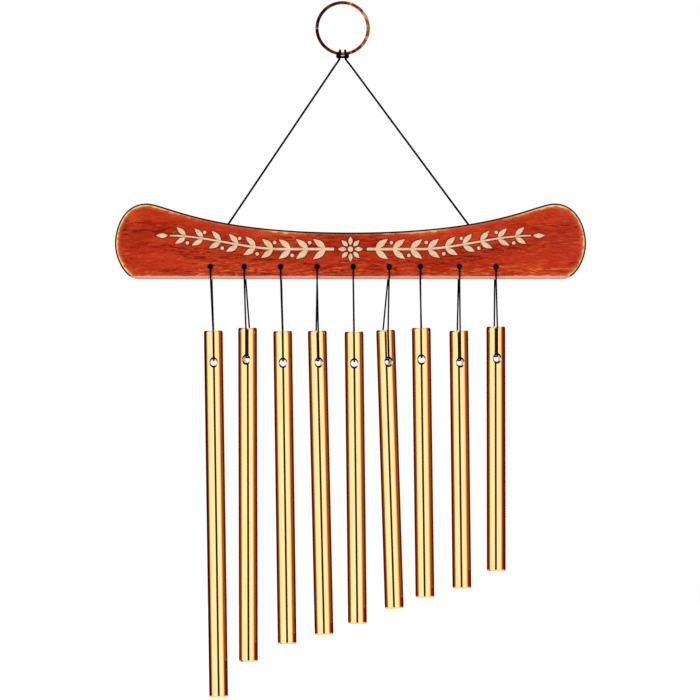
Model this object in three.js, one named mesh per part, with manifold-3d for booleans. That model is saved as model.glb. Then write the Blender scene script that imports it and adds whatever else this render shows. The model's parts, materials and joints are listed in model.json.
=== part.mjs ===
import * as THREE from 'three';
import { mergeVertices } from 'three/addons/utils/BufferGeometryUtils.js';
import Module from 'manifold-3d';

// Hand chime: nine metal rods hang in cord loops from a shaped wooden bar, and the bar
// hangs by one doubled cord from a wire ring.
// Millimetres, +Z up, +X to the right and -Y to the front. The origin is the point
// inside the top of the ring where a hook or a finger carries the chime.

// Wire ring, bent round until its ends meet at the left
const RING_OUTER = 36.6;
const RING_WIRE = 2.2;
const RING_SEAM = 0.3;

// Waxed cord, thicker for the hanger than for the loops
const HANGER_CORD = 1.5;
const LOOP_CORD = 1.2;
const CORD_CLEARANCE = 0.3;
const CORD_BEND = 1.4;

// Wooden bar: heights are above its flat bottom edge, insets are from its ends
const BAR_LENGTH = 316;
const BAR_THICKNESS = 18;
const BAR_WAIST_HEIGHT = 31.2;
const BAR_CREST_HEIGHT = 50.7;
const BAR_CREST_INSET = 21.4;
const BAR_NOSE_HEIGHT = 23.5;
const BAR_SOLE_INSET = 15.6;
const BAR_ROUNDING = 3;
const BAR_OFFSET = 5.3;

// How full the bar's outline curves are, as shares of the run or rise of each
const SOLE_FULLNESS = 0.59;
const NOSE_FULLNESS_BELOW = 0.4;
const NOSE_FULLNESS_ABOVE = 0.41;
const CREST_FULLNESS_OUT = 0.73;
const CREST_FULLNESS_IN = 0.09;
const WAIST_FULLNESS = 0.71;

// Hanger cord: how far the bar hangs below the origin, and where the cord enters it
const HANGER_DROP = 147.7;
const MOUTH_LEFT = 82.1;
const MOUTH_RIGHT = 79;
const MOUTH_WIDTH = 3.2;
const MOUTH_DEPTH = 1.5;
const SOCKET_DEPTH = 15;
const CORD_BREAK = 0.7;

// Row of cord holes through the bar
const HOLE_PITCH = 23.9;
const HOLE_ROW_OFFSET = 1.8;
const HOLE_HEIGHT = 8.3;
const HOLE_BORE = 3;
const HOLE_EASING = 0.5;

// Rods and the countersunk hole across each of them
const ROD = 12.7;
const ROD_BEVEL = 1;
const ROD_HOLE_DEPTH = 21.3;
const ROD_BORE = 4.5;
const ROD_SINK = 7.2;

// Closing knot of each loop, which lies against the bar's hole at the back
const KNOT_WIDTH = 3.8;
const KNOT_HEIGHT = 4.4;

// The nine chimes, from the longest at the left: each rod's length, how far its hole
// hangs below the bar's hole, how far the bar's hole was drilled off the even pitch, and
// how far the rod hangs to the right of that hole
const ROD_LENGTHS = [246, 224, 210, 204, 196, 187, 181, 173, 164];
const LOOP_DROPS = [64.2, 62.3, 64.5, 64.3, 64.9, 63.8, 62.3, 64.2, 61.5];
const HOLE_DRIFTS = [0, -1.3, -0.8, -0.3, 0, 0.2, -2.8, -0.5, 0];
const ROD_SHIFTS = [1.9, 2.1, 1.5, 0.5, 0.8, -1.7, 1, 0, 0.3];

// How far each rod leans, and its turn about its own length, in degrees
const ROD_LEANS = [0.85, 0.15, 0.83, 1.3, 0.68, 1.79, 0.8, 0.7, 0.1];
const ROD_TURNS = [1, -8, 0, 6, -1, 13, -2, 6, 6];

// Fineness of the facets
const CORD_SIDES = 8;
const BEND_STEPS = 3;
const WIRE_SIDES = 10;
const RING_STEPS = 48;
const ROD_SIDES = 32;
const ROD_HOLE_SIDES = 24;
const BAR_HOLE_SIDES = 16;
const OUTLINE_STEPS = 12;
const ROUNDING_STEPS = 3;
const HITCH_STEPS = 40;
const KNOT_SIDES = 10;
const KNOT_RINGS = 8;
const EDGE_HALVINGS = 40;

// What follows from the sizes above
const RING_RADIUS = (RING_OUTER - RING_WIRE) / 2;
const RING_CENTRE = RING_WIRE / 2 - RING_OUTER / 2 + RING_WIRE / 2;
const WIRE_BOTTOM = RING_CENTRE - RING_RADIUS;
const HANGER_STAND_OFF = HANGER_CORD / 2 + CORD_CLEARANCE;
const LOOP_STAND_OFF = LOOP_CORD / 2 + CORD_CLEARANCE;
const HOLE_SEAT = HOLE_BORE / 2 - LOOP_STAND_OFF;
const ROD_SEAT = ROD_BORE / 2 - LOOP_STAND_OFF;
const BAR_END = BAR_LENGTH / 2;
const BAR_CREST_AT = BAR_END - BAR_CREST_INSET;
const OVERRUN = 2;

const wasm = await Module();
wasm.setup();

// A closed geometry as a solid that can be joined and cut
function solidOf(geometry) {
  const bare = geometry.clone();
  bare.deleteAttribute('normal');
  bare.deleteAttribute('uv');
  const welded = mergeVertices(bare);
  return new wasm.Manifold(new wasm.Mesh({
    numProp: 3,
    vertProperties: Float32Array.from(welded.attributes.position.array),
    triVerts: Uint32Array.from(welded.index.array),
  }));
}

function geometryOf(solid) {
  const mesh = solid.getMesh();
  const geometry = new THREE.BufferGeometry();
  geometry.setAttribute('position', new THREE.BufferAttribute(mesh.vertProperties, 3));
  geometry.setIndex(new THREE.BufferAttribute(mesh.triVerts, 1));
  geometry.computeVertexNormals();
  return geometry;
}

// A route through chosen stations. Each station is one step of the swept tube, so a
// straight run takes a single step and a bend as many as it has stations.
class Route extends THREE.Curve {
  constructor(stations) {
    super();
    this.stations = stations;
  }

  getPoint(t, target = new THREE.Vector3()) {
    const last = this.stations.length - 1;
    const index = Math.min(Math.floor(t * last), last - 1);
    return target.lerpVectors(this.stations[index], this.stations[index + 1], t * last - index);
  }

  getPointAt(u, target) {
    return this.getPoint(u, target);
  }

  getTangentAt(u, target = new THREE.Vector3()) {
    const last = this.stations.length - 1;
    const index = Math.round(u * last);
    target.set(0, 0, 0);
    if (index > 0) {
      target.add(this.stations[index].clone().sub(this.stations[index - 1]).normalize());
    }
    if (index < last) {
      target.add(this.stations[index + 1].clone().sub(this.stations[index]).normalize());
    }
    return target.normalize();
  }
}

function roundTube(stations, diameter, sides) {
  const section = [];
  for (let i = 0; i < sides; i += 1) {
    const angle = ((i + 0.5) / sides) * Math.PI * 2;
    section.push(new THREE.Vector2(Math.cos(angle), Math.sin(angle)).multiplyScalar(diameter / 2));
  }
  return new THREE.ExtrudeGeometry(new THREE.Shape(section), {
    steps: stations.length - 1,
    extrudePath: new Route(stations),
  });
}

// Stations along straight runs whose corners are rounded to the cord's bend
function roundedRun(corners, bend) {
  const stations = [corners[0]];
  for (let i = 1; i < corners.length - 1; i += 1) {
    const back = corners[i - 1].clone().sub(corners[i]).normalize();
    const ahead = corners[i + 1].clone().sub(corners[i]).normalize();
    const half = back.angleTo(ahead) / 2;
    const sweep = Math.PI - 2 * half;
    const axis = ahead.clone().cross(back).normalize();
    const centre = back.clone().add(ahead).normalize().multiplyScalar(bend / Math.sin(half));
    centre.add(corners[i]);
    const first = back.multiplyScalar(bend / Math.tan(half)).add(corners[i]).sub(centre);
    const steps = Math.max(1, Math.round((BEND_STEPS * sweep) / (Math.PI / 2)));
    for (let step = 0; step <= steps; step += 1) {
      const spoke = first.clone().applyAxisAngle(axis, (sweep * step) / steps);
      stations.push(spoke.add(centre));
    }
  }
  stations.push(corners[corners.length - 1]);
  return stations;
}

// A turned tool or rod: the profile gives radius and height, and runs from axis to axis
function turned(profile, sides) {
  const points = profile.map(([radius, height]) => new THREE.Vector2(radius, height));
  return new THREE.LatheGeometry(points, sides);
}

// Cuts a straight hole along Y, opened at both faces by a cone of 45 degrees
function throughDrill(bore, mouth, faceToFace, sides) {
  const reach = faceToFace / 2;
  const neck = reach - (mouth - bore) / 2;
  const end = reach + OVERRUN;
  const flare = mouth / 2 + OVERRUN;
  return turned([
    [0, -end],
    [flare, -end],
    [bore / 2, -neck],
    [bore / 2, neck],
    [flare, end],
    [0, end],
  ], sides);
}

function ringGeometry() {
  const seamAngle = RING_SEAM / RING_RADIUS;
  const stations = [];
  for (let step = 0; step <= RING_STEPS; step += 1) {
    const angle = Math.PI + seamAngle / 2 + ((Math.PI * 2 - seamAngle) * step) / RING_STEPS;
    stations.push(new THREE.Vector3(
      RING_RADIUS * Math.cos(angle),
      0,
      RING_CENTRE + RING_RADIUS * Math.sin(angle),
    ));
  }
  return roundTube(stations, RING_WIRE, WIRE_SIDES);
}

// Left half of the cow hitch round the ring's lowest wire, from the leg to the middle
// of the bridge that crosses in front of both legs. Places are from the wire's centre.
const WRAP = RING_WIRE / 2 + HANGER_STAND_OFF;
const HITCH_LEFT_HALF = [
  [-2.2, 0, -WRAP - 1.5],
  [-2.1, 0.9, -WRAP - 0.3],
  [-1.95, WRAP - 0.12, -0.95],
  [-1.8, WRAP - 0.02, 0.5],
  [-1.7, WRAP * 0.6, WRAP * 0.82],
  [-1.7, 0, WRAP + 0.03],
  [-1.75, -WRAP * 0.6, WRAP * 0.82],
  [-2.3, -WRAP - 0.1, 0],
  [-3.1, -WRAP - 0.15, -0.75],
  [-3.65, -WRAP + 0.05, -1.45],
  [-3.55, -WRAP + 0.25, -2.1],
  [-2.9, -WRAP + 0.3, -WRAP - 0.35],
  [-1.6, -WRAP + 0.3, -WRAP - 0.2],
];
const HITCH_BRIDGE = [0, -WRAP + 0.3, -WRAP - 0.1];

function hitchStations() {
  const left = HITCH_LEFT_HALF.map(([x, y, z]) => new THREE.Vector3(x, y, z + WIRE_BOTTOM));
  const right = left.map((point) => new THREE.Vector3(-point.x, point.y, point.z)).reverse();
  const bridge = new THREE.Vector3(HITCH_BRIDGE[0], HITCH_BRIDGE[1], HITCH_BRIDGE[2] + WIRE_BOTTOM);
  return new THREE.CatmullRomCurve3([...left, bridge, ...right]).getSpacedPoints(HITCH_STEPS);
}

// Upper edge of the right half of the bar, from the crest to the waist
function upperEdge() {
  return new THREE.CubicBezierCurve(
    new THREE.Vector2(BAR_CREST_AT, BAR_CREST_HEIGHT),
    new THREE.Vector2(BAR_CREST_AT * (1 - CREST_FULLNESS_IN), BAR_CREST_HEIGHT),
    new THREE.Vector2(BAR_CREST_AT * WAIST_FULLNESS, BAR_WAIST_HEIGHT),
    new THREE.Vector2(0, BAR_WAIST_HEIGHT),
  );
}

// Height of that edge at a distance from the bar's middle, found by halving
function topHeightAt(distance) {
  const edge = upperEdge();
  let near = 0;
  let far = 1;
  for (let i = 0; i < EDGE_HALVINGS; i += 1) {
    const middle = (near + far) / 2;
    if (edge.getPoint(middle).x > distance) {
      near = middle;
    } else {
      far = middle;
    }
  }
  return edge.getPoint(near).y;
}

// The bar's own frame stands at the middle of its bottom edge
const BAR_BOTTOM = -HANGER_DROP - (topHeightAt(MOUTH_LEFT) + topHeightAt(MOUTH_RIGHT)) / 2;
const BAR_ORIGIN = new THREE.Vector3(BAR_OFFSET, 0, BAR_BOTTOM);

function barOutline() {
  const sole = BAR_END - BAR_SOLE_INSET;
  const rise = BAR_CREST_HEIGHT - BAR_NOSE_HEIGHT;
  const right = [
    new THREE.CubicBezierCurve(
      new THREE.Vector2(sole, 0),
      new THREE.Vector2(sole + BAR_SOLE_INSET * SOLE_FULLNESS, 0),
      new THREE.Vector2(BAR_END, BAR_NOSE_HEIGHT * (1 - NOSE_FULLNESS_BELOW)),
      new THREE.Vector2(BAR_END, BAR_NOSE_HEIGHT),
    ),
    new THREE.CubicBezierCurve(
      new THREE.Vector2(BAR_END, BAR_NOSE_HEIGHT),
      new THREE.Vector2(BAR_END, BAR_NOSE_HEIGHT + rise * NOSE_FULLNESS_ABOVE),
      new THREE.Vector2(BAR_CREST_AT + BAR_CREST_INSET * CREST_FULLNESS_OUT, BAR_CREST_HEIGHT),
      new THREE.Vector2(BAR_CREST_AT, BAR_CREST_HEIGHT),
    ),
    upperEdge(),
  ];
  const half = right.flatMap((curve) => curve.getPoints(OUTLINE_STEPS).slice(0, -1));
  const mirrored = half.map((point) => new THREE.Vector2(-point.x, point.y)).reverse();
  return new THREE.Shape([...half, new THREE.Vector2(0, BAR_WAIST_HEIGHT), ...mirrored]);
}

// Both ends of the hanger cord: where each leg leaves the hitch, where it meets the
// bar's upper edge, and the direction in which it pulls
function hangerLeg(side, mouth) {
  const exit = new THREE.Vector3(
    side * -HITCH_LEFT_HALF[0][0],
    HITCH_LEFT_HALF[0][1],
    HITCH_LEFT_HALF[0][2] + WIRE_BOTTOM,
  );
  const entry = new THREE.Vector3(BAR_OFFSET + side * mouth, 0, -HANGER_DROP);
  return { exit, entry, pull: exit.clone().sub(entry).normalize() };
}

const LEGS = { left: hangerLeg(-1, MOUTH_LEFT), right: hangerLeg(1, MOUTH_RIGHT) };

function hangerGeometry() {
  const stop = (leg) => leg.entry.clone().addScaledVector(leg.pull, CORD_BREAK / 2);
  const stations = [stop(LEGS.left), ...hitchStations(), stop(LEGS.right)];
  return roundTube(stations, HANGER_CORD, CORD_SIDES);
}

// The cord's end inside the bar
function hangerEndGeometry(leg) {
  const deepest = SOCKET_DEPTH - CORD_CLEARANCE;
  return roundTube([
    leg.entry.clone().addScaledVector(leg.pull, -CORD_BREAK / 2),
    leg.entry.clone().addScaledVector(leg.pull, -deepest),
  ], HANGER_CORD, CORD_SIDES);
}

// Blind hole for the cord's end, with an eased mouth, drilled along the cord's pull
function socketDrill(leg) {
  const flare = (MOUTH_WIDTH / 2 - HANGER_STAND_OFF) / MOUTH_DEPTH;
  const drill = turned([
    [0, -SOCKET_DEPTH],
    [HANGER_STAND_OFF, -SOCKET_DEPTH],
    [HANGER_STAND_OFF, -MOUTH_DEPTH],
    [MOUTH_WIDTH / 2 + flare * OVERRUN, OVERRUN],
    [0, OVERRUN],
  ], BAR_HOLE_SIDES);
  const along = new THREE.Quaternion().setFromUnitVectors(new THREE.Vector3(0, 1, 0), leg.pull);
  const place = leg.entry.clone().sub(BAR_ORIGIN);
  return drill.applyQuaternion(along).translate(place.x, place.y, place.z);
}

// Where the chime's cord hole is, in the bar's frame
function barHole(index) {
  const even = HOLE_ROW_OFFSET + (index - (ROD_LENGTHS.length - 1) / 2) * HOLE_PITCH;
  return new THREE.Vector3(even + HOLE_DRIFTS[index], 0, HOLE_HEIGHT);
}

function barGeometry() {
  const blank = new THREE.ExtrudeGeometry(barOutline(), {
    depth: BAR_THICKNESS - 2 * BAR_ROUNDING,
    bevelThickness: BAR_ROUNDING,
    bevelSize: BAR_ROUNDING,
    bevelOffset: -BAR_ROUNDING,
    bevelSegments: ROUNDING_STEPS,
  });
  blank.rotateX(Math.PI / 2).translate(0, BAR_THICKNESS / 2 - BAR_ROUNDING, 0);
  let bar = solidOf(blank);
  const mouth = HOLE_BORE + 2 * HOLE_EASING;
  for (let index = 0; index < ROD_LENGTHS.length; index += 1) {
    const hole = barHole(index);
    const drill = throughDrill(HOLE_BORE, mouth, BAR_THICKNESS, BAR_HOLE_SIDES);
    bar = bar.subtract(solidOf(drill.translate(hole.x, hole.y, hole.z)));
  }
  for (const leg of Object.values(LEGS)) {
    bar = bar.subtract(solidOf(socketDrill(leg)));
  }
  return geometryOf(bar);
}

// A rod in its own frame, which stands where its cord lies in its hole
function rodGeometry(length) {
  const top = ROD_HOLE_DEPTH - ROD_SEAT;
  const bottom = top - length;
  const rod = turned([
    [0, bottom],
    [ROD / 2 - ROD_BEVEL, bottom],
    [ROD / 2, bottom + ROD_BEVEL],
    [ROD / 2, top - ROD_BEVEL],
    [ROD / 2 - ROD_BEVEL, top],
    [0, top],
  ], ROD_SIDES).rotateX(Math.PI / 2);
  const drill = throughDrill(ROD_BORE, ROD_SINK, ROD, ROD_HOLE_SIDES);
  return geometryOf(solidOf(rod).subtract(solidOf(drill.translate(0, 0, -ROD_SEAT))));
}

// Where a rod hangs: the middle of its cord, its turn about its own length and its lean
function rodPlace(index) {
  const hole = barHole(index).add(BAR_ORIGIN);
  const lean = THREE.MathUtils.degToRad(ROD_LEANS[index]);
  const turn = THREE.MathUtils.degToRad(ROD_TURNS[index]);
  return {
    position: new THREE.Vector3(
      hole.x + ROD_SHIFTS[index],
      0,
      hole.z - LOOP_DROPS[index] + ROD_SEAT,
    ),
    rotation: new THREE.Euler(0, -lean, turn),
  };
}

// A loop's cord runs from its knot down behind the rod, through the rod's hole, up in
// front of it and through the bar's hole, and ends in the same knot
function loopGeometry(index) {
  const seat = barHole(index).add(BAR_ORIGIN);
  seat.z -= HOLE_SEAT;
  const front = -BAR_THICKNESS / 2 - LOOP_STAND_OFF;
  const knotDepth = BAR_THICKNESS / 2 + CORD_CLEARANCE + KNOT_WIDTH / 2;
  const knot = new THREE.Vector3(seat.x, knotDepth, seat.z);

  const place = rodPlace(index);
  const rodFrame = new THREE.Matrix4().makeRotationFromEuler(place.rotation).setPosition(place.position);
  const atRod = (y, z) => new THREE.Vector3(0, y, z).applyMatrix4(rodFrame);
  const beside = ROD / 2 + LOOP_STAND_OFF;
  const rodTop = ROD_HOLE_DEPTH - ROD_SEAT;

  const stations = roundedRun([
    knot.clone().setZ(knot.z - KNOT_HEIGHT / 4),
    atRod(beside, rodTop),
    atRod(beside, 0),
    atRod(-beside, 0),
    atRod(-beside, rodTop),
    new THREE.Vector3(seat.x, front, BAR_BOTTOM + BAR_ROUNDING),
    new THREE.Vector3(seat.x, front, seat.z),
    knot.clone().setY(knot.y - KNOT_WIDTH / 4),
  ], CORD_BEND);
  const bead = new THREE.SphereGeometry(1, KNOT_SIDES, KNOT_RINGS).rotateX(Math.PI / 2);
  bead.scale(KNOT_WIDTH / 2, KNOT_WIDTH / 2, KNOT_HEIGHT / 2).translate(knot.x, knot.y, knot.z);
  return geometryOf(solidOf(roundTube(stations, LOOP_CORD, CORD_SIDES)).add(solidOf(bead)));
}

const bronzeWire = () => new THREE.MeshStandardMaterial({
  color: 0x8a4a22, roughness: 0.35, metalness: 1,
});
const waxedCord = () => new THREE.MeshStandardMaterial({
  color: 0x14110f, roughness: 0.75, metalness: 0,
});
const stainedWood = () => new THREE.MeshStandardMaterial({
  color: 0xb5331b, roughness: 0.3, metalness: 0,
});
const goldenAluminium = () => new THREE.MeshStandardMaterial({
  color: 0xe0a83c, roughness: 0.22, metalness: 1,
});

function piece(name, geometry, material) {
  const mesh = new THREE.Mesh(geometry, material);
  mesh.name = name;
  return mesh;
}

const chime = new THREE.Group();
chime.add(piece('ring', ringGeometry(), bronzeWire()));
chime.add(piece('hanger_cord', hangerGeometry(), waxedCord()));

const bar = piece('bar', barGeometry(), stainedWood());
bar.position.copy(BAR_ORIGIN);
chime.add(bar);
for (const [side, leg] of Object.entries(LEGS)) {
  chime.add(piece(`hanger_cord_end_${side}`, hangerEndGeometry(leg), waxedCord()));
}

ROD_LENGTHS.forEach((length, index) => {
  const number = index + 1;
  chime.add(piece(`loop_${number}`, loopGeometry(index), waxedCord()));
  const rod = piece(`rod_${number}`, rodGeometry(length), goldenAluminium());
  const { position, rotation } = rodPlace(index);
  rod.position.copy(position);
  rod.rotation.copy(rotation);
  chime.add(rod);
});

export default chime;
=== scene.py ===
# Hand chime: nine metal rods in cord loops under a shaped wooden bar, hung from a wire ring.
# Metres, +Z up, +X to the right and -Y to the front, where the camera stands.
import json
import math

import bmesh
import bpy
from mathutils import Matrix, Vector


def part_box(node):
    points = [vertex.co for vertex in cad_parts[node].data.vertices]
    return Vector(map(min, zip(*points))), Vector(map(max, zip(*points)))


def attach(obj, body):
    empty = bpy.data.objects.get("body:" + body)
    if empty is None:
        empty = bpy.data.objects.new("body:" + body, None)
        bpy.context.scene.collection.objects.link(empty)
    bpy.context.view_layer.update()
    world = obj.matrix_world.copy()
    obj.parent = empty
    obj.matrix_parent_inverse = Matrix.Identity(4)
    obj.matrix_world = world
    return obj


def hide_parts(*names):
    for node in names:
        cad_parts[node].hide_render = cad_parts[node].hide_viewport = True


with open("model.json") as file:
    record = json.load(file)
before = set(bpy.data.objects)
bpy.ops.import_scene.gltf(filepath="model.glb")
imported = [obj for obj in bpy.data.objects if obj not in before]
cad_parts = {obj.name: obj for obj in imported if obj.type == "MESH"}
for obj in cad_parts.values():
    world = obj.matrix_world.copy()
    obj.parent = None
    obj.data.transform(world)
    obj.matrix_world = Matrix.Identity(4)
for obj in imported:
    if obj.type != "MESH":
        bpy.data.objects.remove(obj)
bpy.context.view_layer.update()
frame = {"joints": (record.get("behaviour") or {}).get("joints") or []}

MM = 0.001

# Turns what stands along Z to lie along Y
ALONG_Y = Matrix.Rotation(math.pi / 2, 4, "X")

# Photograph: its size in pixels, the pixel where the chime hangs, and what a pixel covers
PHOTO_SIZE = 700
HANG_PIXEL = (342.6, 4.3)
PIXEL = 0.672 * MM
CAMERA_DISTANCE = 2.6
SENSOR = 36.0

# Places that the frame gives: where each body turns, and the bar's box
PIVOT = {joint["child"]: Vector(joint["pos_m"]) for joint in frame["joints"]}
BAR_LOW, BAR_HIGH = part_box("bar")
BAR_MIDDLE = (BAR_LOW[0] + BAR_HIGH[0]) / 2
BAR_BOTTOM = BAR_LOW[2]
BAR_FRONT = BAR_LOW[1]
BAR_THICKNESS = BAR_HIGH[1] - BAR_LOW[1]
BAR_END = (BAR_HIGH[0] - BAR_LOW[0]) / 2
BAR_CREST_HEIGHT = BAR_HIGH[2] - BAR_LOW[2]

# Wire ring
RING_OUTER = 36.6 * MM
RING_WIRE = 2.2 * MM
RING_SEAM = 0.3 * MM
RING_RADIUS = (RING_OUTER - RING_WIRE) / 2
RING_CENTRE = RING_WIRE - RING_OUTER / 2

# Three-ply waxed cord, thicker for the hanger than for the loops
HANGER_RADIUS = 0.75 * MM
LOOP_RADIUS = 0.6 * MM
CORD_CLEARANCE = 0.3 * MM
HANGER_STAND_OFF = HANGER_RADIUS + CORD_CLEARANCE
LOOP_STAND_OFF = LOOP_RADIUS + CORD_CLEARANCE
CORD_BEND = 1.4 * MM
CORD_PLIES = 3
LAY_IN_RADII = 7
CORD_STEP = 0.4 * MM
PLY_GROOVE = 0.14
HITCH_SWELL = 0.16
HITCH_FADE = 1 * MM
HITCH_LEAD_IN = 0.04

# Wooden bar: heights are above its flat bottom edge, insets are from its ends
BAR_WAIST_HEIGHT = 31.2 * MM
BAR_CREST_INSET = 21.4 * MM
BAR_NOSE_HEIGHT = 23.5 * MM
BAR_SOLE_INSET = 15.6 * MM
BAR_ROUNDING = 3 * MM
SOLE_FULLNESS = 0.59
NOSE_FULLNESS_BELOW = 0.4
NOSE_FULLNESS_ABOVE = 0.41
CREST_FULLNESS_OUT = 0.73
CREST_FULLNESS_IN = 0.09
WAIST_FULLNESS = 0.71
RIM_WIDTH = 6.5 * MM
RIM_LOOPS = (1, 0.75)

# Cord holes and sockets in the bar, and how far a drill runs past what it cuts
HOLE_BORE = 3 * MM
HOLE_EASING = 0.5 * MM
HOLE_SEAT = HOLE_BORE / 2 - LOOP_STAND_OFF
MOUTH_LEFT = 82.1 * MM
MOUTH_RIGHT = 79 * MM
MOUTH_WIDTH = 3.2 * MM
MOUTH_DEPTH = 1.5 * MM
SOCKET_DEPTH = 15 * MM
OVERRUN = 1 * MM

# Rods, from the longest at the left, their leans and turns in degrees
ROD_RADIUS = 6.35 * MM
ROD_BEVEL = 0.5 * MM
ROD_BEVEL_HEIGHT = 1 * MM
ROD_HOLE_DEPTH = 21.3 * MM
ROD_BORE = 4.5 * MM
ROD_SINK = 7.2 * MM
ROD_SEAT = ROD_BORE / 2 - LOOP_STAND_OFF
ROD_TOP = ROD_HOLE_DEPTH - ROD_SEAT
ROD_LENGTHS = [length * MM for length in (246, 224, 210, 204, 196, 187, 181, 173, 164)]
ROD_LEANS = [0.85, 0.15, 0.83, 1.3, 0.68, 1.79, 0.8, 0.7, 0.1]
ROD_TURNS = [1, -8, 0, 6, -1, 13, -2, 6, 6]

# Where shade is painted near black round the rim of a rod's hole, how much and how sharply
PAINTED_SHADE_AT = [(math.radians(-104), 1.0), (math.radians(115), 0.8), (math.radians(66), 0.6)]
PAINTED_SHADE_SHARPNESS = 3

# Closing knot of each loop
KNOT_WIDTH = 3.8 * MM
KNOT_HEIGHT = 4.4 * MM
KNOT_DEPTH = BAR_THICKNESS / 2 + CORD_CLEARANCE + KNOT_WIDTH / 2
KNOT_TURNS = 3
KNOT_GIVE = 0.08 * MM
KNOT_PINCH = 0.18 * MM

# Cut ends of that knot, as steps from where its coil starts or ends
KNOT_TAIL = 5 * MM
KNOT_SPLAY = Vector((1, 0.15, 0)).normalized()
LOWER_TAIL = [KNOT_SPLAY * 0.9 * MM - Vector((0, 0, KNOT_TAIL)), Vector((0.35 * MM, 0, -1.2 * MM))]
UPPER_TAIL = [Vector((0.35 * MM, 0, 0.9 * MM)), KNOT_SPLAY * 1.6 * MM + Vector((0, 0, 0.8 * KNOT_TAIL))]

# Laurel sprays on the bar's front, measured from the bar's middle and bottom edge
ORNAMENT_SINK = 0.01 * MM
ORNAMENT_RELIEF = 0.05 * MM
BURN_RELIEF = 0.02 * MM
BURN_MARGIN = 0.6 * MM
ROSETTE_HEIGHT = 20 * MM
ROSETTE_PETALS = 8
PETAL_LENGTH = 5.8 * MM
PETAL_WIDTH = 2.9 * MM
ROSETTE_EYE = 1.8 * MM
PETAL_START = 1.5 * ROSETTE_EYE
STEM_START = 11 * MM
STEM_END = 121 * MM
STEM_RISE_FROM = 46 * MM
STEM_RISE = 9 * MM
STEM_WIDTH = 1.9 * MM
STEM_TAPER = 0.45
LEAF_PAIRS = 9
FIRST_LEAF = 0.4
LEAF_START = 0.75 * STEM_WIDTH
LEAF_LENGTH = 10.2 * MM
LEAF_WIDTH = 4 * MM
LEAF_SHRINK = 0.22
LEAF_BELLY = 0.85
LEAF_SHARPNESS = 1.1
LEAF_TIP_MARGIN = 2.4
LEAF_ANGLE = math.radians(36)
BERRY_RADIUS = 1.2 * MM

# Fineness of the curved surfaces
CORD_SIDES = 12
COIL_STEPS = 16
KNOT_STEPS = 2
WIRE_SIDES = 32
RING_STEPS = 240
ROD_SIDES = 96
DRILL_SIDES = 64
DISC_SIDES = 32
CARDS_SIDES = 180
FLOOR_SIDES = 96
OUTLINE_STEPS = 36
ROUNDING_STEPS = 7
BEND_STEPS = 10
STEM_STEPS = 60
LEAF_STEPS = 12
END_STEPS = 4
END_BLUNTNESS = 0.4

# Slopes that tell faces apart, as cosines, and the creases that stay sharp
SQUARE_TO_BORE = 0.95
ON_ROD_SIDE = 0.995
OFF_ROD_SIDE = 0.9
BORE_SLOPE = 0.3
CREASE = math.radians(35)
ROD_CREASE = math.radians(20)

# Where the bar's stain and its painted light change: above its bottom edge, and from its ends for
# END_ZONE
LOW_ZONE = (12 * MM, 5 * MM)
DARK_LINE_ZONE = (3 * MM, 2.4 * MM)
FLOOR_REFLECTION_ZONE = (2.1 * MM, 1.7 * MM)
END_ZONE = (60 * MM, 25 * MM)

# Studio, with the direction, strength and width in degrees of each soft lamp
FLOOR_LEVEL = -0.8
FLOOR_RADIUS = 6.0
CARDS_RADIUS = 1.15
CARDS_TOP = 0.35
CLOTH_TOP = 1.6
CLOTH_STEEPNESS = 4
FLOOR_TONE = (0.8, 0.8, 0.8, 1)
FLOOR_GLOW = 0.34
SECOND_GLANCE = (0.42, 0.2, 0.1)
AMBIENT = 0.62
LAMPS = {"key": ((0.45, 0.8, -0.5), 1.25, 40), "fill": ((-0.5, -0.7, -0.45), 0.8, 60)}


def linear(colour):
    """The linear RGBA of a colour written as sRGB hex."""
    channels = [int(colour[i:i + 2], 16) / 255 for i in (0, 2, 4)]
    return [c / 12.92 if c <= 0.04045 else ((c + 0.055) / 1.055) ** 2.4 for c in channels] + [1]


# Routes and outlines

def bezier(start, handle, other_handle, end, steps):
    """Points of a cubic curve, its end included."""
    points = []
    for i in range(steps + 1):
        t = i / steps
        u = 1 - t
        first_half = u**3 * start + 3 * u * u * t * handle
        points.append(first_half + 3 * u * t * t * other_handle + t**3 * end)
    return points


def smooth_through(points, steps):
    """A centripetal Catmull-Rom curve through the points."""
    padded = [2 * points[0] - points[1], *points, 2 * points[-1] - points[-2]]
    route = [points[0]]
    for a, b, c, d in zip(padded, padded[1:], padded[2:], padded[3:]):
        ab, bc, cd = ((q - p).length ** 0.5 for p, q in ((a, b), (b, c), (c, d)))
        leave = (b - a) / ab - (c - a) / (ab + bc) + (c - b) / bc
        arrive = (c - b) / bc - (d - b) / (bc + cd) + (d - c) / cd
        handles = b + leave * bc / 3, c - arrive * bc / 3
        route += bezier(b, *handles, c, steps)[1:]
    return route


def rounded_run(corners, bend):
    """A straight run from corner to corner, each corner rounded to the bend."""
    route = [corners[0]]
    for before, corner, after in zip(corners, corners[1:], corners[2:]):
        back = (before - corner).normalized()
        ahead = (after - corner).normalized()
        half = back.angle(ahead) / 2
        axis = ahead.cross(back).normalized()
        centre = corner + (back + ahead).normalized() * bend / math.sin(half)
        first = corner + back * bend / math.tan(half) - centre
        arc = math.pi - 2 * half
        steps = max(1, round(BEND_STEPS * arc / (math.pi / 2)))
        for step in range(steps + 1):
            route.append(centre + Matrix.Rotation(arc * step / steps, 3, axis) @ first)
    return route + [corners[-1]]


def even_steps(route, step):
    """Stations an even step apart along a route."""
    lengths = [(b - a).length for a, b in zip(route, route[1:])]
    count = max(1, round(sum(lengths) / step))
    gap = sum(lengths) / count
    stations = [route[0]]
    travelled = 0.0
    for start, end, length in zip(route, route[1:], lengths):
        while len(stations) < count and gap * len(stations) <= travelled + length:
            stations.append(start.lerp(end, (gap * len(stations) - travelled) / length))
        travelled += length
    return stations + [route[-1]]


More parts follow.
